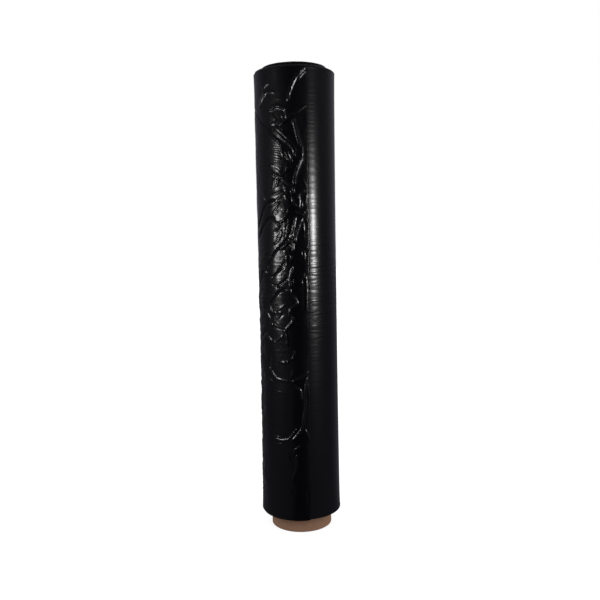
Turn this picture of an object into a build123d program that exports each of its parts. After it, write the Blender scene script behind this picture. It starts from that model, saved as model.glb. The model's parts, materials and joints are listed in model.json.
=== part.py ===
"""A roll of stretch film, standing on end.

The film is wound on a square-cut paperboard tube that is longer than the film is wide. The tube shows
bare below the film. Above it, the outer turns of film overhang the end of the winding and are drawn in
round the head of the tube, almost up to its rim.

Millimetres. The roll's axis is Z, and the origin is at the middle of the tube's lower end.
"""
from build123d import *
import os

# Tube
BORE_DIAMETER = 50.8  # two-inch tube, for a spindle or a pair of hand grips
TUBE_WALL = 5.6
TUBE_FOOT = 17.0  # bare tube below the film
TUBE_HEAD = 5.0  # tube above the end of the winding
TUBE_EDGE = 0.4  # the cut edges are a little crushed

# Film
FILM_WIDTH = 450.0
WOUND_DEPTH = 9.8  # film on the tube, at both ends of the winding
WAIST = 0.7  # how much less film there is half way up
FOOT_EDGE = 0.6  # rounding of the lower edge of the winding
SHOULDER = 2.2  # rounding of the upper edge, where the film turns over
NECK_DEPTH = 1.8  # film drawn in round the head of the tube
NECK_ROOT = 1.5  # hollow where the neck meets the end of the winding
NECK_LIP = 0.8  # rounding of the neck's upper edge
RIM_SHOWING = 0.3  # tube that is left bare above the neck

# Worked out from the sizes above
bore_radius = BORE_DIAMETER / 2
tube_radius = bore_radius + TUBE_WALL
tube_length = TUBE_FOOT + FILM_WIDTH + TUBE_HEAD
tube_edge = min(TUBE_EDGE, TUBE_WALL / 4)

end_radius = tube_radius + WOUND_DEPTH
waist_radius = end_radius - WAIST
neck_radius = tube_radius + NECK_DEPTH
film_bottom = TUBE_FOOT
film_top = film_bottom + FILM_WIDTH
film_middle = film_bottom + FILM_WIDTH / 2
neck_top = tube_length - RIM_SHOWING

end_face = end_radius - neck_radius  # flat end of the winding, outside the neck
neck_height = neck_top - film_top
foot_edge = min(FOOT_EDGE, WOUND_DEPTH / 3)
shoulder = min(SHOULDER, end_face / 3)
neck_root = min(NECK_ROOT, end_face / 3, neck_height / 3)
neck_lip = min(NECK_LIP, NECK_DEPTH / 2, neck_height / 3)


def make_core_tube():
    """Paperboard tube, cut square at both ends."""
    with BuildPart() as core_tube:
        with BuildSketch(Plane.XY):
            Circle(tube_radius)
            Circle(bore_radius, mode=Mode.SUBTRACT)
        extrude(amount=tube_length)
        cut_edges = core_tube.edges().filter_by(GeomType.CIRCLE)
        chamfer(cut_edges, length=tube_edge)
    core_tube.part.label = "core_tube"
    return core_tube


def corner_at(section, place):
    """The corner of an upright section that is nearest to (radius, height)."""
    radius, height = place
    return section.vertices().sort_by_distance((radius, height, 0))[0]


def make_film_roll():
    """All the turns of film as one solid, turned from half of the roll's section."""
    with BuildPart() as film_roll:
        with BuildSketch(Plane.XZ) as section:
            with BuildLine():
                inner_foot = (tube_radius, film_bottom)
                outer_foot = (end_radius, film_bottom)
                outer_head = (end_radius, film_top)
                neck_foot = (neck_radius, film_top)
                neck_head = (neck_radius, neck_top)
                inner_head = (tube_radius, neck_top)
                Line(inner_foot, outer_foot)
                ThreePointArc(outer_foot, (waist_radius, film_middle), outer_head)
                Polyline(outer_head, neck_foot, neck_head, inner_head, inner_foot)
            make_face()
            fillet(corner_at(section, outer_foot), radius=foot_edge)
            fillet(corner_at(section, outer_head), radius=shoulder)
            fillet(corner_at(section, neck_foot), radius=neck_root)
            fillet(corner_at(section, neck_head), radius=neck_lip)
        revolve(axis=Axis.Z)
    film_roll.part.label = "film_roll"
    return film_roll


core_tube = make_core_tube()
film_roll = make_film_roll()

os.makedirs("parts", exist_ok=True)
export_step(core_tube.part, "parts/core_tube.step")
export_step(film_roll.part, "parts/film_roll.step")
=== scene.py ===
"""A roll of black stretch film on a paperboard tube, standing on end in a pale studio."""
import json
import math
import bmesh
import bpy
import numpy as np
from mathutils import Matrix, Vector


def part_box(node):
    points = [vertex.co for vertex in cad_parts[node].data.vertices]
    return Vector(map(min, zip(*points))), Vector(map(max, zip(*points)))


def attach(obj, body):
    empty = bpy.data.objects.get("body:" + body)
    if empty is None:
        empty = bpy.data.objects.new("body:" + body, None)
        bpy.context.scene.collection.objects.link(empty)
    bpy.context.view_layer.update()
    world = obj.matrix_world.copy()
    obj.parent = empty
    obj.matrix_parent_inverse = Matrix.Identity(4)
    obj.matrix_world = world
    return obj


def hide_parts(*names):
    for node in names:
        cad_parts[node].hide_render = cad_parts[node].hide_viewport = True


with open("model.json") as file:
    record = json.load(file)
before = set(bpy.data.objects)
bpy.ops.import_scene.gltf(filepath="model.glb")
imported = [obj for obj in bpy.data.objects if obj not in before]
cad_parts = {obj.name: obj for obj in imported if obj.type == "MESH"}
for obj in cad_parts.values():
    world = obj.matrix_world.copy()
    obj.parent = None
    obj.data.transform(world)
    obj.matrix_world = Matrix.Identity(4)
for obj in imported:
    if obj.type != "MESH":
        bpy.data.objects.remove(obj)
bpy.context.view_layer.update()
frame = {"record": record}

MM = 0.001

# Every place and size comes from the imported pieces, here in millimetres
tube_low, tube_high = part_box("core_tube")
film_low, film_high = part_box("film_roll")
bore = next(mount for mount in frame["record"]["mounts"] if mount["name"] == "spindle_bore")

BORE_RADIUS = bore["dims"]["r_mm"]
TUBE_RADIUS = tube_high.x / MM
TUBE_FOOT = tube_low.z / MM
TUBE_HEAD = tube_high.z / MM
ROLL_RADIUS = film_high.x / MM
FILM_FOOT = film_low.z / MM
NECK_HEAD = film_high.z / MM

# Film sizes that the boxes do not give, as the solid roll has them
FILM_HEAD = NECK_HEAD - 4.7  # end of the winding
WAIST = 0.7  # how much slimmer the roll is half way up
FOOT_EDGE = 0.6
SHOULDER = 2.2
NECK_DEPTH = 1.8
NECK_ROOT = 1.5
NECK_LIP = 0.8
NECK_RADIUS = TUBE_RADIUS + NECK_DEPTH

# The loose outer turn starts at its free edge on the front and runs round the left to the back, where it
# sinks into the winding. Degrees count from the front, to the right.
FREE_EDGE = [(17, 15), (60, 15.5), (150, 15), (215, 15.3), (232, 17), (262, 17), (330, 17.5), (467, 18.2)]
PAST_EDGE = 22.0  # beyond the free edge at every height
SINKS_IN = -170.0
LAST_COLUMN = -201.0
LOOSE_DEPTH = 1.4  # how far its hidden side lies inside the roll's plain shape
LOOSE_OVERLAP = 4.8  # how far it reaches in over the end of the winding
LOOSE_FOOT = FILM_FOOT + 0.05
WINDING_DROP = 1.1  # how far the winding lies lower where the loose turn covers it

# How the roll is cut into faces: three times narrower where the film is wrinkled
COLUMN = 3.0  # degrees
ROW = 0.7
FINE = 3
FINE_FROM, FINE_TO = -87.0, 21.0
FINE_ABOVE = 22.0
EDGE_COLUMN = 18.0  # the column of vertices that becomes the free edge

# The tube's make
CUT_EDGE = 0.5
PLY = 0.7
SEAM_PITCH = 110.0
SEAM_DEPTH = 0.14
FOOT_SWELL = 0.45  # how far the bare foot stands out past the part under the film

# Finishes: linear colours and roughness
FILM_BLACK = (0.0005, 0.0004, 0.0011, 1)
FILM_CLOUDED = (0.0008, 0.0007, 0.0016, 1)
KRAFT_DARK = (0.186, 0.101, 0.061, 1)
KRAFT_LIGHT = (0.226, 0.126, 0.077, 1)
KRAFT_FLECK = (0.132, 0.075, 0.046, 1)
KRAFT_ROUGHNESS = 0.82
FLOOR_GREY = (0.25, 0.25, 0.25, 1)
WHITE = (1, 1, 1, 1)
COOL_WHITE = (0.95, 0.93, 1.08, 1)  # what the gloss shows of the studio

# The camera: metres and degrees
CAMERA_LENS = 41.97
CAMERA_BACK = 0.726
CAMERA_HEIGHT = film_low.z + 0.287
CAMERA_YAW = -0.17
CAMERA_DOWN = 5.26
CAMERA_LEAN = -1.04

# The lamps: metres
LAMP_BACK = 0.95
LAMP_WIDE = 0.17
LAMP_TALL = 0.11


# Creases of the loose outer turn. Each runs through points given as degrees round the roll and millimetres
# up it, stands so many millimetres high, and spreads so far to its left and to its right on the way.
# A groove has a negative height.
CREASES = [
    # gathers that run up to the shoulder
    ([(-9, 432), (-7, 439), (-4, 445), (-1, 450), (3, 455), (8, 459), (13, 463), (17, 465.5)],
     1.05, 1.3, 1.1),
    ([(5, 456), (9, 460.5), (12, 464), (14, 466)], 0.6, 0.8, 0.7),
    ([(5, 452), (9, 456), (14, 459.5), (19, 462), (24, 464)], 0.6, 0.8, 0.7),
    # arc and fork at the upper left
    ([(-57, 430), (-53, 435), (-48, 440), (-42, 443)], 1.0, 1.9, 1.4),
    ([(-42, 443), (-36, 443), (-28, 442)], 0.3, 1.2, 1),
    ([(-47, 442), (-47.5, 447), (-50, 450), (-53, 453)], 0.55, 1.1, 1.1),
    ([(-47.5, 447), (-44, 449.5), (-37, 452)], 0.5, 1.0, 1.2),
    # pocket below the gathers
    ([(-39, 426), (-34, 426), (-29, 428), (-24, 428.5), (-18, 427), (-14, 426), (-12, 423), (-11.5, 416)],
     1.0, 1.3, 1.1),
    ([(-18, 421), (-16.5, 418), (-15, 416)], 0.4, 1.0, 0.8),
    ([(-37, 425), (-33, 421), (-29, 417), (-26, 415)], 0.4, 1.0, 1.0),
    ([(-33, 412), (-29, 413), (-26, 415)], 0.55, 0.8, 0.9),
    ([(-20, 411), (-11, 415), (-7, 418), (0, 421.5)], 1.0, 0.9, 0.9),
    ([(0, 421.5), (8, 425), (16, 429), (21, 434)], 0.4, 0.9, 0.9),
    ([(-26, 436), (-22, 435.5), (-18, 436)], 0.15, 0.6, 0.6),
    # the long dark crease on the left
    ([(-88, 432), (-72, 427), (-60, 420), (-50, 414), (-40, 408), (-33, 403)], -0.95, 1.0, 1.0),
    # the rope's bare middle
    ([(9, 389), (9.3, 386), (9.3, 383), (8.5, 380)], 0.85, 0.8, 1),
    # drapes from the left down to the rope
    ([(-36, 410), (-29, 406), (-22, 401), (-14, 396), (-8, 392), (-3, 387), (-1.5, 383), (-1.5, 379)],
     0.7, 1.1, 0.9),
    ([(-28, 409.5), (-20, 404.5), (-13, 399.5), (-7, 394), (-2, 389), (1.5, 385)], 0.7, 1.0, 0.9),
    ([(-24, 409), (-19, 407.5), (-15, 405)], 0.45, 0.6, 0.9),
    ([(-42, 407), (-33, 401), (-26, 397), (-21, 392), (-19, 387), (-18, 382)], 0.7, 1.1, 0.9),
    ([(-33, 399), (-27, 396.5), (-22, 392)], 0.4, 0.6, 0.8),
    ([(-8.5, 385), (-6.5, 381), (-5.5, 378), (-5, 374)], 0.95, 0.9, 0.9),
    ([(-15, 386), (-11, 381.5), (-8.5, 378), (-6, 375)], 0.55, 0.6, 0.6),
    ([(-19, 384), (-14, 381.5), (-10, 378), (-6, 375.5)], 0.55, 0.6, 0.6),
    ([(-11, 373), (-12.5, 370), (-13, 367)], 0.8, 0.8, 0.8),
    # star
    ([(-3, 373), (-8, 370), (-13, 366.5), (-19, 363), (-22, 361.5)], 0.6, 0.9, 0.9),
    ([(-18, 369), (-21, 366), (-22, 362)], 0.55, 0.9, 0.9),
    ([(-22, 361.5), (-16, 358.5), (-10, 354), (-5, 351), (-2, 346)], 0.8, 0.9, 0.9),
    ([(-22, 361.5), (-27, 362.5), (-33, 365), (-37, 369)], 0.55, 0.9, 0.9),
    ([(-22, 361.5), (-25, 358), (-27, 354), (-31, 351)], 0.55, 0.9, 0.9),
    ([(-40, 351), (-35, 352), (-32, 356), (-33, 360)], 0.55, 1, 1),
    ([(-40, 379), (-39, 375), (-36, 373), (-33, 372.5)], 0.55, 0.9, 0.9),
    ([(-53, 346), (-51.5, 342), (-49.5, 338)], 0.8, 1, 1),
    # below the star
    ([(-16, 353), (-14, 349), (-12.5, 345)], 0.95, 0.9, 0.9),
    ([(-8, 349), (-6, 346), (-4, 343)], 0.8, 0.8, 0.8),
    ([(-3.5, 353), (-2.5, 347), (-1.5, 343)], 0.45, 0.6, 0.6),
    # knot
    ([(-5.5, 342), (-4.5, 338), (-2, 335), (1, 332)], 0.85, 0.8, 0.9),
    ([(5, 344), (3, 340.5), (0, 338.5), (-2, 338)], 0.55, 0.6, 0.8),
    ([(3.5, 344), (4.5, 339), (4.5, 334), (3.5, 330)], 0.8, 0.6, 0.8),
    ([(8, 337), (8, 332)], 0.45, 0.6, 0.8),
    ([(9, 359), (13, 354), (15.5, 350), (15.5, 345), (13.5, 339), (13, 334)], 0.3, 0.9, 0.9),
    ([(9, 324), (13, 328), (17, 332)], 0.45, 0.5, 0.6),
    ([(10, 321), (14, 325), (18, 328)], 0.45, 0.5, 0.6),
    ([(11, 318.5), (14, 321), (17, 324)], 0.45, 0.5, 0.6),
    ([(-1, 329), (2, 326), (4, 324.5), (8, 324), (11, 326)], 0.8, 0.8, 0.8),
    ([(-13, 326), (-11, 329), (-9, 331)], 0.55, 0.6, 0.8),
    # long arcs on the left
    ([(-75, 312), (-62, 322), (-55, 329), (-48, 334), (-40, 337.5), (-30, 339)], -1.1, 1.3, 1.0),
    ([(-44, 333), (-36, 333.5), (-29, 335.5), (-22, 336.5)], 0.45, 1, 0.8),
    ([(-70, 302), (-57, 312), (-50, 317), (-42, 321), (-33, 321)], -1.1, 1.3, 1.0),
    ([(-44, 340), (-34, 344), (-25, 346), (-18, 349)], 0.4, 1, 1),
    ([(-38, 323), (-33, 327), (-28, 332), (-25, 335)], 0.4, 0.8, 0.8),
    ([(-35, 322), (-30, 326), (-26, 329)], 0.3, 0.6, 0.6),
    ([(-33, 319), (-27, 316.5), (-20, 318.5), (-14, 322)], 0.55, 0.8, 0.9),
    ([(-27, 316.5), (-26, 312), (-28, 308)], 0.45, 0.8, 0.8),
    # slanting folds
    ([(-1, 323), (-3, 316), (-5, 309), (-7, 302)], 0.95, 1, 1),
    ([(8, 321), (4, 315), (1, 309), (-1.5, 303), (-2.5, 297)], 0.95, 1, 1),
    ([(-10, 320), (-12, 313), (-14, 306), (-16, 300)], 0.8, 0.8, 0.9),
    ([(-15, 316), (-17, 309), (-18, 302)], 0.55, 0.8, 0.8),
    ([(9, 318), (10, 312), (10, 307)], 0.55, 0.6, 0.8),
    ([(10, 306), (10, 301)], 0.45, 0.6, 0.6),
    ([(-5, 304), (-5.5, 299), (-5, 293), (-6, 288)], 0.95, 0.8, 0.8),
    ([(-9.5, 301), (-9, 296), (-10, 291)], 0.8, 0.6, 0.6),
    ([(-7, 299), (-10, 295), (-15, 292.5), (-24, 291)], -0.9, 1, 1),
    ([(-10, 305), (-16, 299), (-21, 295), (-27, 291.5), (-33, 288), (-38, 283.5), (-43, 278), (-48, 272)],
     -0.9, 1, 1),
    ([(-8, 285.5), (-8, 280)], 0.8, 0.6, 0.6),
    ([(-14, 286), (-15, 282), (-14, 278)], 0.6, 0.6, 0.6),
    ([(6, 289), (6, 283)], 0.55, 0.6, 0.6),
    ([(9.5, 289), (10.5, 285), (10, 280)], 0.55, 0.6, 0.8),
    ([(-57, 271), (-53, 269.5), (-49, 266)], 0.95, 1.1, 1),
    ([(-90, 246), (-78, 253), (-68, 258), (-62, 264), (-57, 271)], -1.15, 1.3, 0.9),
    ([(-16, 279), (-22, 274), (-28, 270.5)], -0.6, 0.9, 0.9),
    ([(-19, 273), (-28, 269), (-34, 265.5), (-40, 262)], -0.6, 0.9, 0.9),
    ([(-6, 275), (-8.5, 268), (-10.5, 263), (-10, 257), (-10, 253)], 0.85, 0.8, 0.9),
    ([(-6, 263), (-7, 255), (-9, 247)], 0.55, 0.6, 0.8),
    ([(-13, 263), (-20, 259), (-26, 256), (-31, 252.5)], -0.6, 0.9, 0.9),
    ([(-40, 256), (-31, 254.5), (-24, 252.5), (-16, 251.5)], -0.5, 0.8, 0.8),
    ([(-17, 251), (-25, 250), (-31, 247), (-37, 242), (-42, 237), (-47, 233)], -0.9, 1, 1),
    ([(6, 262), (6, 255)], 0.45, 0.5, 0.6),
    ([(9, 268), (9, 260)], 0.55, 0.6, 0.6),
    ([(11.5, 265), (12.5, 258), (13, 250), (12.5, 242), (12.5, 235), (12, 230)], 0.55, 0.9, 1.2),
    # wavy line down the middle
    ([(-6, 246), (-3, 242), (-1, 238), (-3.5, 235.5), (-8, 233), (-11, 230), (-12, 226)], 0.85, 0.9, 0.9),
    ([(-8, 226), (-7.5, 221), (-10, 217.5), (-14, 214.5), (-17, 212), (-18.5, 209)], 0.8, 0.8, 0.9),
    ([(-17, 208), (-16.5, 202), (-15.5, 194)], 0.55, 0.8, 0.8),
    # short creases on the left
    ([(-46, 236), (-43, 232), (-40, 227)], 0.8, 1, 1),
    ([(-40, 225), (-37, 228.5), (-34, 226)], 0.55, 0.6, 0.6),
    ([(-51, 229), (-47.5, 225), (-45, 221)], 0.8, 1, 1),
    ([(-46, 217.5), (-42, 216.5), (-39, 214.5)], 0.85, 1, 1),
    ([(-38, 216), (-34, 215), (-30, 213)], 0.55, 0.6, 0.6),
    ([(-50, 205), (-46.5, 202), (-42, 199)], 0.85, 1, 1),
    ([(-39, 199.5), (-36, 198.5)], 0.6, 0.9, 0.9),
    ([(-29, 228.5), (-23, 228.5)], 0.3, 0.8, 0.6),
    ([(-16, 237), (-23, 234), (-30, 230.5)], 0.3, 0.8, 0.8),
    ([(-21, 227), (-27, 223), (-31, 219)], -0.25, 0.9, 0.9),
    ([(-33, 214), (-26, 211.5), (-19, 211)], -0.4, 0.8, 0.8),
    ([(-34, 199), (-27, 202.5), (-22, 206)], 0.45, 0.8, 0.6),
    ([(-75, 198), (-62, 204), (-55, 207), (-51, 211)], -0.7, 1.2, 1.0),
    ([(15, 228), (17, 223), (21, 219.5)], 0.45, 0.8, 0.8),
    # smile
    ([(-44.5, 190), (-45, 182), (-46, 174), (-45, 170)], -0.9, 1, 1),
    ([(-50, 170), (-44, 168.5), (-39, 165), (-34, 161.5), (-28, 160.5), (-21, 159.5), (-12, 159)],
     0.45, 0.9, 0.9),
    ([(-12, 159), (-7, 160), (-2, 161.5), (2, 163.5), (8, 166.5), (16, 170)], 1.0, 0.9, 0.8),
    ([(-50, 160.5), (-46, 159), (-42, 157)], 0.55, 0.9, 0.9),
    ([(-44, 148.5), (-35, 148.5), (-29, 148), (-24, 146.5)], 0.15, 0.7, 0.7),
    ([(-40, 145), (-34, 146), (-30, 147.5)], 0.3, 0.6, 0.6),
    ([(-7, 192), (-6.5, 188), (-8, 183.5), (-12, 181)], 0.6, 0.8, 0.9),
    ([(-26, 178), (-21, 178.5), (-17, 178), (-15, 181)], 0.55, 0.9, 0.9),
    ([(-9, 171), (-10.5, 163)], 0.55, 0.8, 0.8),
    ([(11.5, 164), (9.5, 157), (8, 150), (7.5, 141), (7.5, 132), (5.5, 123), (4, 116)], 1.4, 0.9, 1),
    ([(12, 158), (12.5, 148), (14, 140), (12, 131)], 0.8, 0.8, 1),
    ([(-5, 155), (-2, 152.5), (1, 150.5), (2.5, 146), (3.5, 139)], 0.9, 0.9, 0.9),
    # lowest folds
    ([(4, 116), (0.5, 110), (-4, 105.5), (-9, 101.5), (-13, 99)], 1.0, 0.9, 0.8),
    ([(-3, 113), (-7, 109), (-11, 105.5), (-16, 101), (-21, 99.5), (-30, 98.5), (-36, 99.5), (-42, 99)],
     0.6, 0.8, 0.8),
    ([(-44, 102), (-37, 102), (-28, 101)], 0.4, 0.6, 0.6),
    ([(-35, 94), (-27, 94.5)], 0.45, 0.8, 0.6),
    ([(-38, 106), (-30, 106.5)], 0.15, 0.8, 0.8),
    ([(7, 111), (9.5, 106), (12, 101.5), (14, 96)], 0.8, 0.8, 0.8),
    ([(1, 95), (-3, 92.5), (-7, 90), (-8.5, 86)], 0.9, 0.8, 0.9),
    ([(-5, 86), (-6.5, 80), (-7, 70), (-12, 58)], 0.8, 0.9, 0.9),
    # thin folds round the knot
    ([(3, 344), (8, 346.5), (14, 347.5)], 0.6, 0.8, 0.8),
    ([(-45, 334), (-35, 336.5), (-25, 341), (-15, 347)], 0.4, 0.9, 0.8),
    ([(-20, 330), (-12, 331), (-4, 334)], 0.5, 0.8, 0.8),
    ([(-33, 309), (-27, 311), (-22, 315)], 0.5, 0.8, 0.8),
    ([(-30, 301), (-25, 305), (-21, 311)], 0.5, 0.8, 0.8),
    ([(-36, 296), (-30, 298), (-24, 303), (-20, 309)], 0.5, 0.8, 0.8),
    ([(-17, 345), (-13, 340), (-9, 338)], 0.5, 0.8, 0.8),
    # faint dark marks near the foot
    ([(-13, 49), (-11, 45), (-6, 42)], -0.3, 0.8, 0.8),
    ([(-8, 51), (0, 49.5), (6, 51), (12, 52)], -0.3, 0.8, 0.8),
    ([(12, 56), (12.5, 52)], -0.3, 0.8, 0.8),
    ([(-5, 56), (0, 54.5)], -0.25, 0.7, 0.7),
    ([(9.5, 46), (9.5, 40), (10, 33)], -0.25, 0.8, 0.8),
    ([(-6, 26.5), (-1, 26), (3, 26.5)], -0.25, 0.7, 0.7),
    ([(5, 27), (9.5, 27.5)], -0.25, 0.7, 0.7),
    ([(-5, 61), (3, 60)], -0.2, 0.6, 0.6),
    ([(0, 68), (7, 67)], -0.2, 0.6, 0.6),
    ([(-2, 75), (6, 75)], -0.2, 0.6, 0.6),
    ([(-16, 88), (-14.5, 82), (-12, 76)], -0.4, 0.8, 0.8),
]

# The twisted ropes that the film is drawn into, given as the creases are
ROPES = [
    ([(-1, 418), (-2, 413), (-0.5, 409), (1.5, 403), (3.5, 397), (5.5, 392), (8, 389)], 0.95, 1.9, 0.7),
    ([(9, 380), (6, 376), (3.5, 372), (1, 367), (-1.5, 362), (-2.5, 358), (-2.5, 353)], 1, 2, 0.7),
]

# Crumpled patches of the loose turn: middle (degrees, millimetres), half sizes and grain in millimetres,
# depth, seed
CRUMPLES = [
    ((-28, 361), (6, 6), (3.0, 3.0), 0.22, 11),
    ((-11, 283), (6, 12), (1.6, 5.0), 0.34, 12),
    ((-12, 308), (6, 14), (2.0, 5.0), 0.30, 13),
    ((-26, 302), (7, 12), (2.6, 3.4), 0.16, 14),
    ((-9, 255), (3, 14), (1.5, 4.5), 0.25, 15),
    ((16, 335), (2, 30), (1.4, 2.2), 0.09, 16),
    ((16.5, 285), (1.8, 60), (1.4, 2.6), 0.09, 17),
    ((-38, 224), (8, 13), (2.6, 3.2), 0.22, 18),
    ((-24, 190), (10, 24), (3.0, 3.0), 0.10, 19),
    ((0, 335), (7, 9), (2.2, 2.8), 0.18, 20),
    ((-20, 325), (8, 7), (2.6, 2.4), 0.10, 21),
    ((-10, 228), (4, 8), (1.6, 3.0), 0.16, 22),
    ((15, 183), (3, 6), (1.6, 1.8), 0.12, 23),
]

# Zones of the loose turn with small ripples and with fine crumpling: middle and half sizes, as above
LADDER = ((-25, 382), (5, 14))
FINE_CRUMPLING = ((-13, 325), (9, 70))

# Small bumps on the loose turn: place (degrees, millimetres), half sizes in millimetres, height
BUMPS = [
    ((20, 449), (0.9, 0.7), 0.12),
    ((17, 425.5), (0.8, 0.8), 0.12),
    ((11.5, 443), (0.6, 0.8), 0.08),
    ((14, 307), (0.8, 1.2), 0.15),
    ((13.3, 116), (0.8, 0.8), 0.15),
    ((17.5, 193.5), (1.2, 0.7), 0.15),
    ((-21.5, 88), (1.0, 0.8), 0.12),
    ((-54, 228), (1.6, 1.6), 0.3),
    ((-13, 207), (0.8, 0.7), 0.2),
    ((-25, 228), (2.4, 0.8), 0.2),
    ((-43, 216), (1.8, 1.2), 0.35),
    ((-37, 198.5), (1.3, 1.0), 0.3),
    ((-52, 268.5), (2.6, 1.3), 0.4),
    ((9, 209), (0.8, 0.7), 0.1),
    ((14.5, 207.5), (1.0, 0.7), 0.12),
    ((18, 213.5), (0.9, 0.7), 0.1),
]


def across(degrees):
    """Millimetres round the roll from the front."""
    return degrees * math.pi / 180 * ROLL_RADIUS


def ease(value, start, end):
    """0 at start, 1 at end, smooth in between and level outside."""
    t = np.clip((value - start) / (end - start), 0, 1)
    return t * t * (3 - 2 * t)


def smooth_line(points, steps=6):
    """A smooth curve through a few points."""
    points = np.array(points, float)
    if len(points) < 3:
        return points
    run = np.vstack([2 * points[0] - points[1], points, 2 * points[-1] - points[-2]])
    curve = []
    for before, start, end, after in zip(run, run[1:], run[2:], run[3:]):
        for t in np.arange(steps) / steps:
            bend = (2 * before - 5 * start + 4 * end - after) * t**2
            swing = (3 * start - before - 3 * end + after) * t**3
            curve.append(0.5 * (2 * start + (end - before) * t + bend + swing))
    return np.array(curve + [points[-1]])


def beside_line(x, z, line):
    """Distance to a line, positive on its left, how far along it that is, and the line's length."""
    nearest = np.full(x.shape, 1e9)
    side = np.zeros(x.shape)
    along = np.zeros(x.shape)
    start = 0.0
    for (px, pz), (sx, sz) in zip(line, np.diff(line, axis=0)):
        length = math.hypot(sx, sz)
        t = np.clip(((x - px) * sx + (z - pz) * sz) / length**2, 0, 1)
        dx = x - px - t * sx
        dz = z - pz - t * sz
        distance = np.hypot(dx, dz)
        closer = distance < nearest
        nearest = np.where(closer, distance, nearest)
        side = np.where(closer, sx * dz - sz * dx, side)
        along = np.where(closer, start + t * length, along)
        start += length
    return np.where(side >= 0, nearest, -nearest), along, start


def crease_height(x, z, crease):
    """One crease: a crest that falls away to each side and dies out at its ends."""
    points, rise, left, right = crease
    line = smooth_line([(across(degrees), height) for degrees, height in points])
    reach = 3.2 * max(left, right)
    low, high = line.min(0) - reach, line.max(0) + reach
    near = (x > low[0]) & (x < high[0]) & (z > low[1]) & (z < high[1])
    height = np.zeros(x.shape)
    if near.any():
        distance, along, length = beside_line(x[near], z[near], line)
        spread = np.where(distance > 0, left, right)
        ends = ease(along, 0, 3) * ease(length - along, 0, 3)
        height[near] = rise * (0.35 + 0.65 * ends) * np.exp(-np.abs(distance / spread) ** 1.7)
    return height


def rope_height(x, z, rope):
    """A crease with the slanting ripples of a twisted strand."""
    ripples = 1 + 0.35 * np.sin(2 * math.pi * (z + 0.9 * x) / 2.3)
    return crease_height(x, z, rope) * ripples


def cloud(x, z, grain_x, grain_z, seed):
    """Smooth random hills between -1 and 1, about a grain apart."""
    hills = np.random.default_rng(seed).uniform(-1, 1, (64, 64))
    u, v = x / grain_x, z / grain_z
    column, row = np.floor(u).astype(int), np.floor(v).astype(int)
    fu, fv = ease(u - column, 0, 1), ease(v - row, 0, 1)
    left, right, low, high = column % 64, (column + 1) % 64, row % 64, (row + 1) % 64
    lower = hills[left, low] * (1 - fu) + hills[right, low] * fu
    upper = hills[left, high] * (1 - fu) + hills[right, high] * fu
    return lower * (1 - fv) + upper * fv


def crumple(x, z, grain_x, grain_z, seed):
    """Sharp crests round smooth hollows, from 0 to 1."""
    bend = cloud(x, z, 3 * grain_x, 3 * grain_z, seed + 1)
    hills = cloud(x + bend * grain_x, z + bend * grain_z, grain_x, grain_z, seed)
    return 1 - np.sqrt(np.abs(hills) + 0.02)


def patch(x, z, centre, half):
    """1 inside an oval and 0 well outside it."""
    degrees, height = centre
    return np.clip((1.5 - np.hypot((x - across(degrees)) / half[0], (z - height) / half[1])) / 0.9, 0, 1)


def loose_relief(x, z):
    """How far the loose turn stands off the winding where it is wrinkled, in millimetres."""
    height = sum(crease_height(x, z, crease) for crease in CREASES)
    height += sum(rope_height(x, z, rope) for rope in ROPES)
    for middle, half, (grain_x, grain_z), depth, seed in CRUMPLES:
        height += depth * patch(x, z, middle, half) * crumple(x, z, grain_x, grain_z, seed)
    for (degrees, up), half, rise in BUMPS:
        away = np.hypot((x - across(degrees)) / half[0], (z - up) / half[1])
        height += rise * np.exp(-away**2)
    # A ladder of small ripples
    steps = z + 0.35 * x + 1.3 * cloud(x, z, 8, 6, 31)
    ladder = patch(x, z, *LADDER) * (0.75 + 0.5 * cloud(x, z, 6, 5, 32))
    height += 0.09 * ladder * np.sin(2 * math.pi * steps / 2.2)
    # Fine crumpling down the middle of the wrinkled side
    fine = patch(x, z, *FINE_CRUMPLING) * ease(cloud(x, z, 9, 14, 45), -0.5, 0.5)
    height += 0.2 * fine * crumple(x, z, 2.0, 2.8, 46)
    # Low swells, and softer lumps on the left flank
    calm = 0.3 + 0.7 * ease(z, 60, 110)
    height += calm * (0.20 * cloud(x, z, 9, 16, 41) + 0.03 * cloud(x, z, 4, 6, 42))
    flank = ease(-x, across(50), across(68))
    lumps = 0.38 * cloud(x, z, 7, 9, 43) + 0.7 * (crumple(x, z, 4.5, 5.5, 44) - 0.4)
    lumps += 0.14 * cloud(x, z, 3, 3, 48)
    upper = ease(z, 225, 270)
    height += flank * (lumps * (1 - 0.8 * upper) + 0.07 * cloud(x, z, 8, 1.8, 47))
    return height


def far_side_relief(x, z):
    """Long soft wrinkles that carry the loose turn on round the back."""
    slant = z + 0.45 * x + 5 * cloud(x, z, 26, 30, 61)
    height = 0.35 * crumple(x, slant, 34, 15, 62) + 0.30 * cloud(x, z, 12, 12, 63)
    height += 0.35 * crumple(x + 0.5 * z, z, 12, 40, 64) * ease(cloud(x, z, 30, 40, 65), -0.2, 0.5)
    return height


def tight_relief(x, z):
    """The faint rings of the tight winding, strongest half way up and a little above."""
    below_head = 0.2 + 0.25 * ease(-z, -380, -340) + 0.4 * ease(-z, -320, -285)
    banded = 0.2 + below_head * ease(z, 160, 220)
    lines = np.sqrt(np.abs(cloud(x, z, 9, 2.6, 53)) + 0.006)
    return banded * (0.05 * cloud(x, z, 14, 1.8, 51) + 0.03 * cloud(x, z, 40, 5, 52) + 0.08 * lines)


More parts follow.
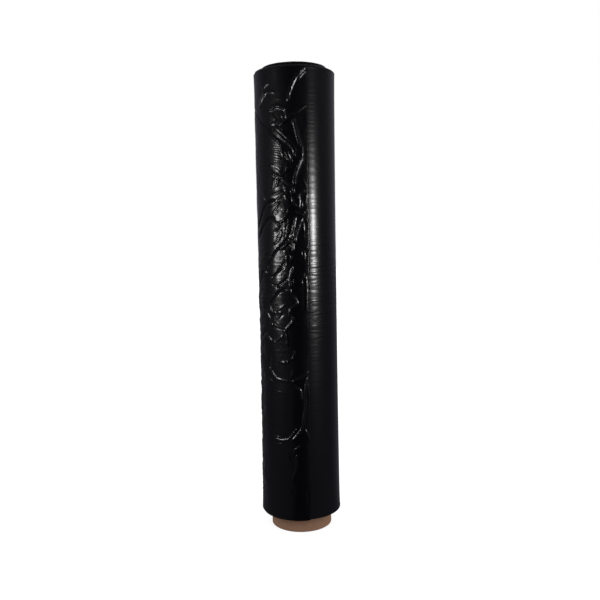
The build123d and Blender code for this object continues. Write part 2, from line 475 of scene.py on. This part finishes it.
def gathers(degrees, up):
    """Pleats that draw the film in over the end of the winding to the tube, and the bead round its rim."""
    turn = np.radians(degrees)
    x, y = np.sin(turn), -np.cos(turn)
    wander = cloud(40 * x + up, 40 * y, 9, 9, 71)
    pleats = np.sin(17 * turn + 2.2 * wander) + 0.6 * np.sin(41 * turn + 3 * wander)
    fine = cloud(60 * x, 60 * y, 3.2, 3.2, 72)
    inward = ease(up, FILM_HEAD - 1, FILM_HEAD + 7)
    rim = 0.12 * np.exp(-(((up - FILM_HEAD + 1.3 - 0.5 * wander) / 1.1) ** 2))
    fold = 0.35 * np.exp(-(((up - FILM_HEAD - 10.3 - 0.6 * fine) / 0.9) ** 2))
    return inward * (0.14 * pleats + 0.2 * fine) + rim + fold


def free_edge(z):
    """Where the outer turn ends at each height, in degrees."""
    heights, degrees = zip(*FREE_EDGE)
    waves = 0.7 * cloud(z, z, 6, 6, 81) + 0.5 * cloud(z, z, 2.4, 2.4, 82)
    return np.interp(z, heights, degrees) + waves * ease(z, 120, 200)


def waist(z):
    """How much slimmer the roll is than near its ends, where its cut edges stand a little proud."""
    middle = (FILM_FOOT + FILM_HEAD) / 2
    slim = WAIST * (1 - ((z - middle) / (middle - FILM_FOOT)) ** 2).clip(0, 1)
    return slim - 0.5 * np.exp((FILM_FOOT - z) / 7) - 0.3 * np.exp((z - FILM_HEAD) / 9)


def closed_section(points):
    """A closed line in the plane through the roll's axis, from (radius, height) corners."""
    shape = bmesh.new()
    corners = [shape.verts.new((0, -radius * MM, height * MM)) for radius, height in points]
    for start, end in zip(corners, corners[1:] + corners[:1]):
        shape.edges.new((start, end))
    return shape


def radius_of(vert):
    """A vertex's distance from the axis, in millimetres."""
    return math.hypot(vert.co.x, vert.co.y) / MM


def edge_along(edge, direction):
    """Whether an edge runs "up", "round" or "in"wards."""
    first, second = edge.verts
    rise = abs(first.co.z - second.co.z)
    inwards = abs(radius_of(first) - radius_of(second)) * MM
    length = edge.calc_length()
    if direction == "up":
        return rise > 0.9 * length
    if direction == "in":
        return inwards > 0.9 * length
    return rise < 0.1 * length and inwards < 0.1 * length


def ring_at(shape, radius, height):
    """The edges of the ring at a radius and a height."""
    return [
        edge for edge in shape.edges
        if all(abs(radius_of(v) - radius) < 0.01 and abs(v.co.z / MM - height) < 0.01 for v in edge.verts)
    ]


def round_ring(shape, radius, height, size, segments):
    """Rounds the corner that runs round a turned shape at a radius and a height."""
    edges = ring_at(shape, radius, height)
    bmesh.ops.bevel(
        shape, geom=edges, offset=size * MM, offset_type="OFFSET", segments=segments,
        profile=0.5, affect="EDGES", material=-1,
    )


def cut_rows(shape, spacing, direction="up", low=-1.0, high=1e4, inner=0.0):
    """Divides the edges that run "up" or "in"wards into even lengths of about the spacing."""
    longest = 1.5 * spacing * MM
    groups = {}
    for edge in shape.edges:
        middle = (edge.verts[0].co + edge.verts[1].co) / 2
        if not edge_along(edge, direction) or edge.calc_length() < longest:
            continue
        if low < middle.z / MM < high and math.hypot(middle.x, middle.y) / MM > inner:
            groups.setdefault(round(edge.calc_length() / MM / spacing), []).append(edge)
    for pieces, edges in groups.items():
        bmesh.ops.subdivide_edges(shape, edges=edges, cuts=pieces - 1, use_grid_fill=True)


def degrees_of(place):
    """A place's degrees round from the front."""
    return math.degrees(math.atan2(place.x, -place.y))


def cut_columns(shape, from_degrees, to_degrees, above, inner):
    """Makes the faces of a zone three times narrower."""
    edges = []
    for edge in shape.edges:
        middle = (edge.verts[0].co + edge.verts[1].co) / 2
        zone = from_degrees < degrees_of(middle) < to_degrees and middle.z / MM > above
        if zone and math.hypot(middle.x, middle.y) / MM > inner and edge_along(edge, "round"):
            edges.append(edge)
    bmesh.ops.subdivide_edges(shape, edges=edges, cuts=FINE - 1, use_grid_fill=True)


def turn_section(shape, degrees, steps):
    """Turns a section round the axis; a full turn closes on itself."""
    full = abs(degrees) == 360
    bmesh.ops.spin(
        shape, geom=shape.verts[:] + shape.edges[:], cent=(0, 0, 0), axis=(0, 0, 1),
        angle=math.radians(degrees), steps=steps, use_merge=full, use_duplicate=False,
    )


def roll_places(shape):
    """Each vertex's degrees round the roll, radius and height in millimetres, and its normal."""
    shape.normal_update()
    places = np.array([vert.co[:] for vert in shape.verts]) / MM
    normals = np.array([vert.normal[:] for vert in shape.verts])
    degrees = np.degrees(np.arctan2(places[:, 0], -places[:, 1]))
    return degrees, np.hypot(places[:, 0], places[:, 1]), places[:, 2], normals


def place_back(shape, degrees, radius, height):
    """Sets each vertex from its degrees round the roll, radius and height in millimetres."""
    turn = np.radians(degrees)
    for vert, x, y, z in zip(shape.verts, radius * np.sin(turn), -radius * np.cos(turn), height):
        vert.co = Vector((x, y, z)) * MM


def stand_off(radius, height, normals, relief):
    """The radius and height of each place once it has moved along its normal."""
    outwards = np.hypot(normals[:, 0], normals[:, 1])
    return radius + relief * outwards, height + relief * normals[:, 2]


def hidden_depth(degrees, height, up):
    """How far the winding lies below its plain shape where the loose turn covers it."""
    round_left = np.where(degrees > PAST_EDGE, degrees - 360, degrees)
    edge = free_edge(height)
    covered = ease(-round_left, 1.5 - edge, 5 - edge) * ease(round_left, SINKS_IN - 30, SINKS_IN + 5)
    return WINDING_DROP * covered * (up < FILM_HEAD + 1)


def wound_side(degrees, height):
    """How far the side of the winding stands off a plain cylinder."""
    return tight_relief(across(degrees), height) - hidden_depth(degrees, height, height) - waist(height)


def loose_side(degrees, height):
    """How far the side of the loose turn stands off a plain cylinder."""
    return turn_relief(degrees, height, height) - waist(height)


def turn_relief(degrees, height, up):
    """How far the loose turn stands off the roll's plain shape: up runs on over the shoulder."""
    x = across(degrees)
    edge = free_edge(height)
    front = ease(degrees, -112, -88)
    relief = front * loose_relief(x, up) + (1 - front) * far_side_relief(x, up)
    # The wrinkles die out towards the foot, the free edge, the far end and the end of the winding
    relief *= ease(height, FILM_FOOT, FILM_FOOT + 23) * ease(across(edge) - x, 0, 5)
    relief *= ease(degrees, SINKS_IN - 24, SINKS_IN + 12)
    relief *= 1 - ease(up, FILM_HEAD - 1, FILM_HEAD + 3)
    # The free edge stands off in its upper half, and the far end and the inner rim sink into the winding
    lift = 0.07 + 0.42 * ease(degrees, edge - 10, edge + 3) * ease(height, 225, 245)
    lift -= 0.5 * ease(-degrees, -SINKS_IN - 15, -SINKS_IN + 28)
    lift -= 0.5 * ease(up, FILM_HEAD + 1, FILM_HEAD + LOOSE_OVERLAP)
    # On the left the turn is drawn in below the shoulder and full at the foot
    lift -= 0.45 * ease(-degrees, 55, 80) * ease(height, 432, 456)
    lift += 0.3 * ease(-degrees, 60, 85) * ease(-height, -60, -32)
    return relief + lift + tight_relief(x, height) + gathers(degrees, up)


def shade_side(shape, chosen, degrees, height, side):
    """Keeps the normals of a side as its height function gives them, finer than the faces alone would.

    They are left on the vertices for link_piece.
    """
    step = 0.3
    turn = step / across(1.0)
    degrees, height = degrees[chosen], height[chosen]
    round_slope = (side(degrees + turn, height) - side(degrees - turn, height)) / (2 * step)
    up_slope = (side(degrees, height + step) - side(degrees, height - step)) / (2 * step)
    angle = np.radians(degrees)
    normal_x = np.sin(angle) - round_slope * np.cos(angle)
    normal_y = -np.cos(angle) - round_slope * np.sin(angle)
    exact = np.stack([normal_x, normal_y, -up_slope], axis=1)
    exact /= np.linalg.norm(exact, axis=1, keepdims=True)
    layer = shape.verts.layers.float_vector.new("side_normal")
    shape.verts.ensure_lookup_table()
    for index, normal in zip(np.flatnonzero(chosen), exact):
        shape.verts[index][layer] = normal


def wound_film():
    """The tight winding, with its flat ends and its neck drawn in round the head of the tube."""
    shape = closed_section([
        (TUBE_RADIUS, FILM_FOOT), (ROLL_RADIUS, FILM_FOOT), (ROLL_RADIUS, FILM_HEAD),
        (NECK_RADIUS, FILM_HEAD), (NECK_RADIUS, NECK_HEAD), (TUBE_RADIUS, NECK_HEAD),
    ])
    turn_section(shape, 360, round(360 / COLUMN))
    round_ring(shape, ROLL_RADIUS, FILM_FOOT, FOOT_EDGE, 2)
    round_ring(shape, ROLL_RADIUS, FILM_HEAD, SHOULDER, 5)
    round_ring(shape, NECK_RADIUS, FILM_HEAD, NECK_ROOT, 4)
    round_ring(shape, NECK_RADIUS, NECK_HEAD, NECK_LIP, 3)
    cut_rows(shape, ROW, inner=TUBE_RADIUS + 0.5)
    cut_rows(shape, ROW, "in")
    cut_columns(shape, -180, 180, FILM_HEAD - 6, 0.0)

    degrees, radius, height, normals = roll_places(shape)
    skin = radius > TUBE_RADIUS + 0.01
    up = height + ROLL_RADIUS - radius
    side = radius > ROLL_RADIUS - 0.01
    relief = np.where(side, tight_relief(across(degrees), height), 0)
    relief = relief + gathers(degrees, up) * (height > FILM_HEAD - 3) - hidden_depth(degrees, height, up)
    relief = np.where(skin, relief * (1 - 0.7 * ease(up, FILM_HEAD + 9, FILM_HEAD + 13)), 0)
    new_radius, new_height = stand_off(radius, height, normals, relief)
    slim = np.where(radius > NECK_RADIUS, waist(height), 0)
    place_back(shape, degrees, new_radius - slim * skin, new_height)
    plain = side & (height > FILM_FOOT + FOOT_EDGE) & (height < FILM_HEAD - 3.2)
    shade_side(shape, plain, degrees, height, wound_side)
    return shape


def outer_turn():
    """The loose last turn of the film: it ends in a free edge and is wrinkled beside it."""
    hidden_radius = ROLL_RADIUS - LOOSE_DEPTH
    hidden_height = FILM_HEAD - LOOSE_DEPTH
    end_radius = ROLL_RADIUS - LOOSE_OVERLAP
    shape = closed_section([
        (hidden_radius, LOOSE_FOOT), (ROLL_RADIUS, LOOSE_FOOT), (ROLL_RADIUS, FILM_HEAD),
        (end_radius, FILM_HEAD), (end_radius, hidden_height), (hidden_radius, hidden_height),
    ])
    to_edge = Matrix.Rotation(math.radians(EDGE_COLUMN), 3, "Z")
    bmesh.ops.rotate(shape, verts=shape.verts[:], cent=(0, 0, 0), matrix=to_edge)
    columns = round((EDGE_COLUMN - LAST_COLUMN) / COLUMN)
    turn_section(shape, -columns * COLUMN, columns)
    ends = [edge for edge in shape.edges if edge.is_boundary]
    bmesh.ops.holes_fill(shape, edges=ends, sides=0)
    round_ring(shape, ROLL_RADIUS, LOOSE_FOOT, FOOT_EDGE, 2)
    round_ring(shape, ROLL_RADIUS, FILM_HEAD, SHOULDER, 5)
    cut_rows(shape, ROW, inner=hidden_radius + 0.3)
    cut_rows(shape, ROW, "in", low=FILM_HEAD - 0.3)
    cut_columns(shape, FINE_FROM, FINE_TO, FINE_ABOVE, hidden_radius + 0.3)
    bmesh.ops.recalc_face_normals(shape, faces=shape.faces[:])

    degrees, radius, height, normals = roll_places(shape)
    degrees = np.where(degrees > PAST_EDGE, degrees - 360, degrees)
    skin = (np.abs(radius - hidden_radius) > 0.05) & (np.abs(height - hidden_height) > 0.05)
    up = height + ROLL_RADIUS - radius
    degrees = degrees + (free_edge(height) - EDGE_COLUMN) * ease(degrees, 3, EDGE_COLUMN)
    relief = np.where(skin, turn_relief(degrees, height, up), 0)
    # Normals slant at the two ends of the turn, so below the shoulder the skin moves straight outwards
    outwards = np.where(height < FILM_HEAD - SHOULDER, 1.0, np.hypot(normals[:, 0], normals[:, 1]))
    new_radius = radius + relief * outwards - waist(height)
    new_height = height + relief * np.where(outwards < 1, normals[:, 2], 0)
    place_back(shape, degrees, new_radius, new_height)
    ends = (degrees > free_edge(height) - 0.1) | (degrees < LAST_COLUMN + COLUMN)
    plain = skin & ~ends & (radius > ROLL_RADIUS - 0.01)
    plain &= (height > LOOSE_FOOT + FOOT_EDGE + 0.1) & (height < FILM_HEAD - SHOULDER - 0.1)
    shade_side(shape, plain, degrees, height, loose_side)
    return shape


def paper_tube():
    """The wound paperboard tube, with its seam and the plies that show on its cut ends."""
    shape = closed_section([
        (BORE_RADIUS, TUBE_FOOT), (TUBE_RADIUS, TUBE_FOOT),
        (TUBE_RADIUS, TUBE_HEAD), (BORE_RADIUS, TUBE_HEAD),
    ])
    turn_section(shape, 360, round(360 / COLUMN))
    for radius in (BORE_RADIUS, TUBE_RADIUS):
        for height in (TUBE_FOOT, TUBE_HEAD):
            round_ring(shape, radius, height, CUT_EDGE, 2)
    cut_rows(shape, PLY / 3, "in")
    # The foot that shows below the film has finer faces
    everything = shape.verts[:] + shape.edges[:] + shape.faces[:]
    under_film = (0, 0, (FILM_FOOT + 2) * MM)
    bmesh.ops.bisect_plane(shape, geom=everything, plane_co=under_film, plane_no=(0, 0, 1))
    cut_rows(shape, 0.6, high=FILM_FOOT + 1, inner=BORE_RADIUS + 1)
    foot_rings = []
    for edge in shape.edges:
        corner = edge.verts[0]
        on_foot = radius_of(corner) > BORE_RADIUS + 1 and corner.co.z / MM < FILM_FOOT + 1
        if on_foot and edge_along(edge, "round"):
            foot_rings.append(edge)
    bmesh.ops.subdivide_edges(shape, edges=foot_rings, cuts=FINE - 1, use_grid_fill=True)
    cut_rows(shape, 3.0, high=TUBE_HEAD)

    degrees, radius, height, normals = roll_places(shape)
    x = across(degrees)
    ends = np.abs(normals[:, 2]) > 0.9
    plies = np.abs(((radius - BORE_RADIUS) / PLY + degrees / 360) % 1 - 0.5)
    ends_relief = -0.10 * ease(plies, 0.34, 0.5) + 0.04 * cloud(x, radius * 4, 5, 2, 91)
    outside = radius > TUBE_RADIUS - 0.05
    seam = (degrees / 360 - height / SEAM_PITCH) % 1
    seam_relief = -SEAM_DEPTH * np.exp(-(((seam - 0.5) * SEAM_PITCH / 1.1) ** 2))
    swell = FOOT_SWELL + 0.06 * cloud(x, height, 14, 9, 92)
    walls_relief = seam_relief + swell * (outside & (height < FILM_FOOT))
    covered = outside & (height > FILM_FOOT)
    relief = np.where(ends, ends_relief, np.where(covered, -0.02, walls_relief - 0.02))
    new_radius, new_height = stand_off(radius, height, normals, relief)
    place_back(shape, degrees, new_radius, np.clip(new_height, TUBE_FOOT, TUBE_HEAD))
    return shape


class Signal:
    """A shader socket that takes part in arithmetic; each step adds a Math node."""

    def __init__(self, shader, socket):
        self.shader = shader
        self.socket = socket

    def step(self, operation, *values):
        """The result of one Math node."""
        inputs = dict(enumerate(values))
        return self.shader.node("ShaderNodeMath", {"operation": operation}, inputs).out(0)

    def __add__(self, other):
        return self.step("ADD", self, other)

    def __radd__(self, other):
        return self.step("ADD", other, self)

    def __rsub__(self, other):
        return self.step("SUBTRACT", other, self)

    def __mul__(self, other):
        return self.step("MULTIPLY", self, other)

    def __rmul__(self, other):
        return self.step("MULTIPLY", other, self)

    def __pow__(self, other):
        return self.step("POWER", self, other)


class Node:
    """A shader node whose outputs are signals."""

    def __init__(self, shader, made):
        self.shader = shader
        self.made = made

    def out(self, name):
        return Signal(self.shader, self.made.outputs[name])


class Shader:
    """A node tree that is filled one node at a time."""

    def __init__(self, tree):
        self.tree = tree
        tree.nodes.clear()

    def node(self, kind, settings=None, inputs=None):
        """Adds a node of a kind, with its settings first and then its sockets' values or links."""
        made = self.tree.nodes.new(kind)
        for name, setting in (settings or {}).items():
            setattr(made, name, setting)
        for name, value in (inputs or {}).items():
            if isinstance(value, Signal):
                self.tree.links.new(value.socket, made.inputs[name])
            else:
                made.inputs[name].default_value = value
        return Node(self, made)

    def noise(self, coordinates, scale, detail=2.0, roughness=0.5):
        """A noise value from 0 to 1."""
        inputs = {"Vector": coordinates, "Scale": scale, "Detail": detail, "Roughness": roughness}
        return self.node("ShaderNodeTexNoise", {}, inputs).out(0)

    def stretched(self, coordinates, scale):
        """Coordinates scaled by a different amount along each axis."""
        return self.node("ShaderNodeMapping", {}, {"Vector": coordinates, "Scale": scale}).out(0)

    def ramp(self, factor, low, high):
        """0 below low, 1 above high and smooth in between."""
        inputs = {"Value": factor, "From Min": low, "From Max": high}
        return self.node("ShaderNodeMapRange", {"interpolation_type": "SMOOTHSTEP"}, inputs).out(0)

    def blend(self, factor, first, second):
        """A mix of two colours, which are the node's sockets 6 and 7 and its output 2."""
        inputs = {"Factor": factor, 6: first, 7: second}
        return self.node("ShaderNodeMix", {"data_type": "RGBA"}, inputs).out(2)


def new_material(name):
    """A material and the empty shader to fill for it."""
    material = bpy.data.materials.new(name)
    material.use_nodes = True
    return material, Shader(material.node_tree)


def film_finish():
    """Black polyethylene stretch film: smooth, glossy and a little cloudy."""
    material, shader = new_material("stretch_film")
    place = shader.node("ShaderNodeTexCoord").out("Object")
    clouds = shader.noise(shader.stretched(place, (60, 60, 25)), 1.0, 3.0)
    colour = shader.blend(clouds, FILM_BLACK, FILM_CLOUDED)
    roughness = 0.215 + 0.04 * clouds
    along = shader.node("ShaderNodeSeparateXYZ", {}, {0: place})
    rings = shader.noise(shader.stretched(place, (7, 7, 800)), 1.0, 3.0, 0.6)
    grain = shader.noise(place, 700.0, 2.0)
    bump = {"Strength": 0.35, "Distance": 0.00006, "Height": rings + 0.35 * grain}
    smooth = shader.node("ShaderNodeBump", {}, bump).out(0)
    # Small sharp wrinkles down the middle of the loose turn's front
    wrinkled = shader.ramp(along.out("Z"), 0.20, 0.27) * (1 - shader.ramp(along.out("X"), -0.004, 0.003))
    wrinkled = wrinkled * shader.ramp(along.out("X"), -0.024, -0.016)
    wrinkled = wrinkled * (1 - shader.ramp(along.out("Y"), -0.02, 0))
    wrinkled = wrinkled * (1 - shader.ramp(along.out("Z"), 0.395, 0.41))
    patches = shader.ramp(shader.noise(place, 90.0, 1.0), 0.4, 0.6)
    lines = {"Vector": shader.stretched(place, (1.0, 1.0, 0.7)), "Scale": 420.0, "Detail": 2.0}
    ridges = shader.node("ShaderNodeTexNoise", {"noise_type": "RIDGED_MULTIFRACTAL"}, lines).out(0)
    bump = {"Strength": wrinkled * patches, "Distance": 0.00020, "Height": ridges, "Normal": smooth}
    normal = shader.node("ShaderNodeBump", {}, bump).out(0)
    inputs = {"Base Color": colour, "Roughness": roughness, "IOR": 1.5, "Normal": normal}
    surface = shader.node("ShaderNodeBsdfPrincipled", {}, inputs)
    shader.node("ShaderNodeOutputMaterial", {}, {"Surface": surface.out(0)})
    return material


def paperboard_finish():
    """Brown kraft paperboard with fibres that run round it and a few darker flecks."""
    material, shader = new_material("paperboard")
    place = shader.node("ShaderNodeTexCoord").out("Object")
    fibres = shader.noise(shader.stretched(place, (260, 260, 700)), 1.0, 5.0, 0.6)
    flecks = shader.ramp(shader.noise(shader.stretched(place, (500, 500, 1400)), 1.0, 2.0), 0.62, 0.74)
    colour = shader.blend(fibres, KRAFT_DARK, KRAFT_LIGHT)
    colour = shader.blend(0.35 * flecks, colour, KRAFT_FLECK)
    bump = {"Strength": 0.5, "Distance": 0.00008, "Height": fibres}
    normal = shader.node("ShaderNodeBump", {}, bump).out(0)
    inputs = {"Base Color": colour, "Roughness": KRAFT_ROUGHNESS, "IOR": 1.4, "Normal": normal}
    surface = shader.node("ShaderNodeBsdfPrincipled", {}, inputs)
    shader.node("ShaderNodeOutputMaterial", {}, {"Surface": surface.out(0)})
    return material


def add_camera():
    """Stands in front, higher than the middle of the roll, and looks slightly down at it."""
    data = bpy.data.cameras.new("studio_camera")
    data.sensor_width = 36.0
    data.lens = CAMERA_LENS
    data.clip_start = 0.01
    data.clip_end = 100.0
    camera = bpy.data.objects.new("studio_camera", data)
    bpy.context.scene.collection.objects.link(camera)
    yaw = Matrix.Rotation(math.radians(CAMERA_YAW), 4, "Z")
    tilt = Matrix.Rotation(math.radians(90 - CAMERA_DOWN), 4, "X")
    lean = Matrix.Rotation(math.radians(CAMERA_LEAN), 4, "Z")
    place = Matrix.Translation((0.0, -CAMERA_BACK, CAMERA_HEIGHT))
    camera.matrix_world = place @ yaw @ tilt @ lean
    bpy.context.scene.camera = camera


def add_lamp(name, azimuth, height, power):
    """An oval lamp that faces the roll, azimuth degrees round from the camera's side."""
    data = bpy.data.lights.new(name, "AREA")
    data.shape = "ELLIPSE"
    data.size = LAMP_WIDE
    data.size_y = LAMP_TALL
    data.energy = power
    lamp = bpy.data.objects.new(name, data)
    bpy.context.scene.collection.objects.link(lamp)
    turn = math.radians(azimuth)
    place = Vector((LAMP_BACK * math.sin(turn), -LAMP_BACK * math.cos(turn), height))
    aim = Vector((0, 0, height)) - place
    lamp.matrix_world = Matrix.Translation(place) @ aim.to_track_quat("-Z", "Y").to_matrix().to_4x4()


def studio_level(shader, rearward, rightward, upward):
    """How bright the studio looks in the gloss: black behind the camera and lightest at its rear."""
    front = 0.03 * shader.ramp(rearward, -0.95, -0.88)
    sides = 0.08 * shader.ramp(rearward, -0.8, 0.3)
    rear = 0.06 + 0.06 * shader.ramp(rightward, -0.6, 0.1)
    rear = rear * (1 - 0.85 * shader.ramp(upward, 0.3, 0.6))
    return front + sides + rear * shader.ramp(rearward, 0.1, 0.8)


def add_surroundings():
    """Plain white to the camera, a dim studio in the gloss, and soft light from above and both sides."""
    world = bpy.data.worlds.new("studio")
    bpy.context.scene.world = world
    world.use_nodes = True
    shader = Shader(world.node_tree)
    path = shader.node("ShaderNodeLightPath")
    direction = shader.node("ShaderNodeTexCoord").out("Generated")
    along = shader.node("ShaderNodeSeparateXYZ", {}, {0: direction})
    # In the gloss: the dim studio, with the lower part of its backdrop lighter
    low = 1 - 0.8 * shader.ramp(along.out("Z"), 0.05, 0.3)
    backdrop = shader.ramp(along.out("Y"), 0.93, 0.97)
    level = studio_level(shader, along.out("Y"), along.out("X"), along.out("Z"))
    seen_in_gloss = level + 0.40 * backdrop * low
    # On matt surfaces: light from a ring high up, and from low on the left and right
    overhead = 1 - 0.7 * shader.ramp(along.out("Z"), 0.6, 0.95)
    lit_from = 0.08 + 2.4 * shader.ramp(along.out("Z"), 0.35, 0.6) * overhead
    beside = shader.ramp(along.out("X") ** 2, 0.35, 0.7) * shader.ramp(along.out("Z"), 0.05, 0.2)
    lit_from = lit_from + 1.6 * beside * (1 - shader.ramp(along.out("Z"), 0.4, 0.6))
    camera = path.out("Is Camera Ray")
    gloss = path.out("Is Glossy Ray")
    strength = camera + (1 - camera) * (gloss * seen_in_gloss + (1 - gloss) * lit_from)
    colour = shader.blend(gloss, WHITE, COOL_WHITE)
    background = shader.node("ShaderNodeBackground", {}, {"Color": colour, "Strength": strength})
    shader.node("ShaderNodeOutputWorld", {}, {"Surface": background.out(0)})


def floor_finish():
    """White to the camera but for a soft shadow; it shows dim in the film, as the studio does."""
    material, shader = new_material("studio_floor")
    path = shader.node("ShaderNodeLightPath")
    camera = path.out("Is Camera Ray")
    gloss = path.out("Is Glossy Ray")
    matte = shader.node("ShaderNodeBsdfDiffuse", {}, {"Color": FLOOR_GREY})
    lift = shader.node("ShaderNodeEmission", {}, {"Color": WHITE, "Strength": camera * 0.8})
    seen = shader.node("ShaderNodeAddShader", {}, {0: matte.out(0), 1: lift.out(0)})
    place = shader.node("ShaderNodeTexCoord").out("Object")
    outwards = shader.node("ShaderNodeVectorMath", {"operation": "NORMALIZE"}, {0: place}).out(0)
    along = shader.node("ShaderNodeSeparateXYZ", {}, {0: outwards})
    near = 0.045 * shader.ramp(along.out("Y"), -0.97, -0.93)
    near = near * (1 - shader.ramp(along.out("Y"), -0.6, 0.3))
    level = 0.008 + near + 0.5 * studio_level(shader, along.out("Y"), along.out("X"), along.out("Z"))
    dim = shader.node("ShaderNodeEmission", {}, {"Color": COOL_WHITE, "Strength": level})
    both = shader.node("ShaderNodeMixShader", {}, {0: gloss, 1: seen.out(0), 2: dim.out(0)})
    shader.node("ShaderNodeOutputMaterial", {}, {"Surface": both.out(0)})
    return material


def add_floor():
    """A wide round floor under the roll."""
    sheet = bmesh.new()
    bmesh.ops.create_circle(sheet, cap_ends=True, segments=96, radius=6.0)
    floor = link_piece("studio_floor", sheet, floor_finish())


def link_piece(name, shape, material):
    """Turns a finished bmesh into a shown piece at the origin; large flat faces stay flat."""
    bmesh.ops.recalc_face_normals(shape, faces=shape.faces[:])
    for face in shape.faces:
        face.smooth = len(face.verts) < 40
    mesh = bpy.data.meshes.new(name)
    shape.to_mesh(mesh)
    shape.free()
    mesh.set_sharp_from_angle(angle=math.radians(60))
    exact = mesh.attributes.get("side_normal")
    if exact:
        # Where nothing was kept the normal is zero, and the faces still give it
        normals = np.zeros(3 * len(mesh.vertices), np.float32)
        exact.data.foreach_get("vector", normals)
        mesh.attributes.remove(exact)
        mesh.normals_split_custom_set_from_vertices(normals.reshape(-1, 3))
    mesh.materials.append(material)
    piece = bpy.data.objects.new(name, mesh)
    bpy.context.scene.collection.objects.link(piece)
    return piece


bpy.context.scene.view_settings.view_transform = "Standard"
add_camera()
add_surroundings()
add_lamp("lamp_right", 48.3, 0.314, 2.95)
add_lamp("lamp_left", -57.0, 0.320, 1.55)
add_floor()
film = film_finish()
board = paperboard_finish()
for name, shape, finish, slot, node in (
    ("wound_film", wound_film(), film, "film", "film_roll"),
    ("outer_turn", outer_turn(), film, "film", "film_roll"),
    ("paper_tube", paper_tube(), board, "paperboard", "core_tube"),
):
    piece = link_piece(name, shape, finish)
    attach(piece, "root")
    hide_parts(node)
